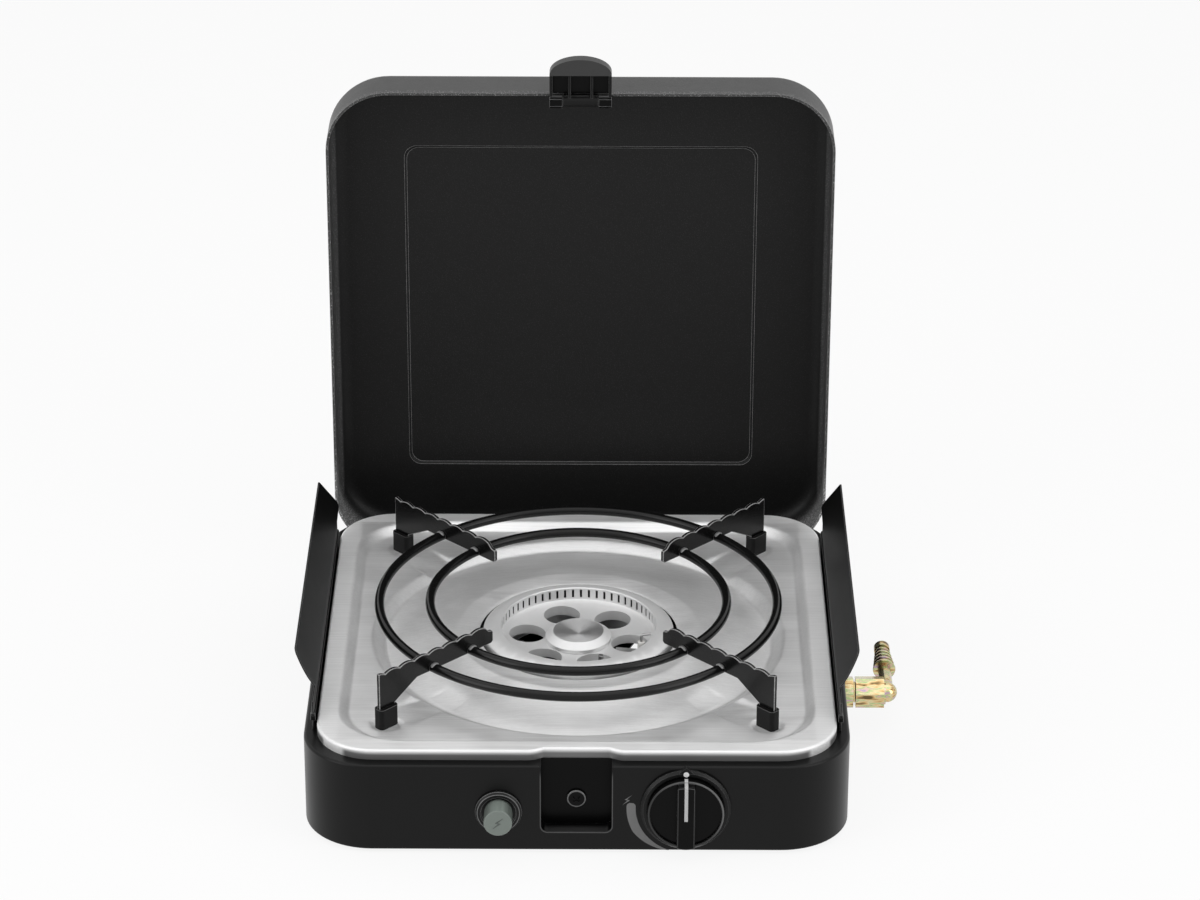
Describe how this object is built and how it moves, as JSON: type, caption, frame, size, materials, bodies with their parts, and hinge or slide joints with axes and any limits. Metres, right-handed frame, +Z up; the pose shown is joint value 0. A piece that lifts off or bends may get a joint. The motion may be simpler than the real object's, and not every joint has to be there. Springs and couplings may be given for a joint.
{
  "type": "camping gas stove",
  "caption": "Portable gas stove with an upright hinged lid, folding windshields, a ringed pan support over a round burner, a push-and-turn knob, an igniter button and a barbed hose inlet.",
  "frame": {"origin": "on the surface that the feet stand on, under the middle of the square base and on the burner's axis", "axes": "+X to the user's right and out of the hose side, +Y towards the lid's hinge at the back, +Z up; the lid stands open at rest"},
  "size_m": [0.3607, 0.3751, 0.375],
  "materials": {
    "base_paint": "satin black powder coat",
    "lid_paint": "satin black powder coat, lightly textured",
    "tray_steel": "brushed stainless steel",
    "enamel": "semi-gloss black enamel",
    "burner_casting": "bright cast aluminium",
    "hub_turning": "fine turned aluminium",
    "latch_plastic": "satin black moulding",
    "knob_plastic": "satin black moulding",
    "trim_plastic": "satin black moulding",
    "button_plastic": "satin grey-green moulding",
    "black_steel": "blackened steel screws and pins",
    "bare_steel": "plain zinc-plated steel",
    "fitting": "yellow passivated plating with a faint rainbow",
    "brass": "plain brass",
    "pipe": "drawn tube",
    "ceramic": "glazed white ceramic",
    "lead_sleeve": "black sleeve",
    "rubber": "moulded black rubber"
  },
  "bodies": {
    "base": {"base_housing": "base_paint", "bottom_plate": "base_paint", "bottom_screws": "black_steel", "burner_bowl": "burner_casting", "burner_head": "burner_casting", "burner_hub": "hub_turning", "burner_pipe": "pipe", "burner_posts": "bare_steel", "burner_screws": "bare_steel", "drip_tray": "tray_steel", "electrode_ceramic": "ceramic", "electrode_wire": "bare_steel", "flame_sensor": "bare_steel", "hinge_bracket_left": "bare_steel", "hinge_bracket_right": "bare_steel", "hinge_pins": "black_steel", "hose_elbow": "fitting", "igniter_bezel": "trim_plastic", "igniter_nut": "trim_plastic", "ignition_lead": "lead_sleeve", "injector": "brass", "injector_bracket": "bare_steel", "inlet_connector": "brass", "inlet_pipe": "pipe", "knob_bezel": "trim_plastic", "lock_nut": "fitting", "mixing_tube": "pipe", "piezo_igniter": "trim_plastic", "recess_nut": "bare_steel", "recess_screw": "black_steel", "rubber_feet": "rubber", "sensor_clips": "bare_steel", "sensor_lead": "lead_sleeve", "valve_body": "brass", "valve_bracket": "bare_steel", "windshield_rail_left": "base_paint", "windshield_rail_right": "base_paint", "windshield_rods": "bare_steel"},
    "lid": {"lid_shell": "lid_paint", "hinge_arm_left": "lid_paint", "hinge_arm_right": "lid_paint", "hinge_rivets": "black_steel", "latch_bracket": "lid_paint", "latch_pin": "black_steel"},
    "latch": {"lid_latch": "latch_plastic"},
    "pan_support": {"inner_support_ring": "enamel", "outer_support_ring": "enamel", "support_arm_back_left": "enamel", "support_arm_back_right": "enamel", "support_arm_front_left": "enamel", "support_arm_front_right": "enamel", "support_boots": "rubber"},
    "knob_push": {"thrust_washer": "bare_steel"},
    "knob": {"control_knob": "knob_plastic", "valve_spindle": "brass"},
    "igniter": {"igniter_button": "button_plastic"},
    "left_shield": {"windshield_left": "base_paint"},
    "right_shield": {"windshield_right": "base_paint"}
  },
  "joints": [
    {"name": "lid_hinge", "type": "hinge", "parent": "base", "child": "lid", "pos_m": [0, 0.1471, 0.0449], "axis": [-1, 0, 0], "range_deg": [-90, 0]},
    {"name": "latch_flip", "type": "hinge", "parent": "lid", "child": "latch", "pos_m": [0, 0.1555, 0.347], "axis": [-1, 0, 0], "range_deg": [-90, 0]},
    {"name": "left_shield_fold", "type": "hinge", "parent": "base", "child": "left_shield", "pos_m": [-0.1546, 0, 0.0678], "axis": [0, 1, 0], "range_deg": [0, 67]},
    {"name": "right_shield_fold", "type": "hinge", "parent": "base", "child": "right_shield", "pos_m": [0.1546, 0, 0.0678], "axis": [0, -1, 0], "range_deg": [0, 67]},
    {"name": "pan_support_lift", "type": "slide", "parent": "base", "child": "pan_support", "axis": [0, 0, 1], "range_m": [0, 0.04]},
    {"name": "knob_press", "type": "slide", "parent": "base", "child": "knob_push", "axis": [0, 1, 0], "range_m": [0, 0.0032], "stiffness_N_per_m": 1500, "springref_m": -0.002},
    {"name": "knob_turn", "type": "hinge", "parent": "knob_push", "child": "knob", "pos_m": [0.0635, 0, 0.0312], "axis": [0, -1, 0], "range_deg": [0, 180]},
    {"name": "igniter_press", "type": "slide", "parent": "base", "child": "igniter", "axis": [0, 1, 0], "range_m": [0, 0.0055], "stiffness_N_per_m": 2000, "springref_m": -0.002}
  ],
  "couplings": [
    {"joint": "left_shield_fold", "follows": "lid_hinge", "ratio": -0.73889},
    {"joint": "right_shield_fold", "follows": "lid_hinge", "ratio": -0.73889}
  ]
}
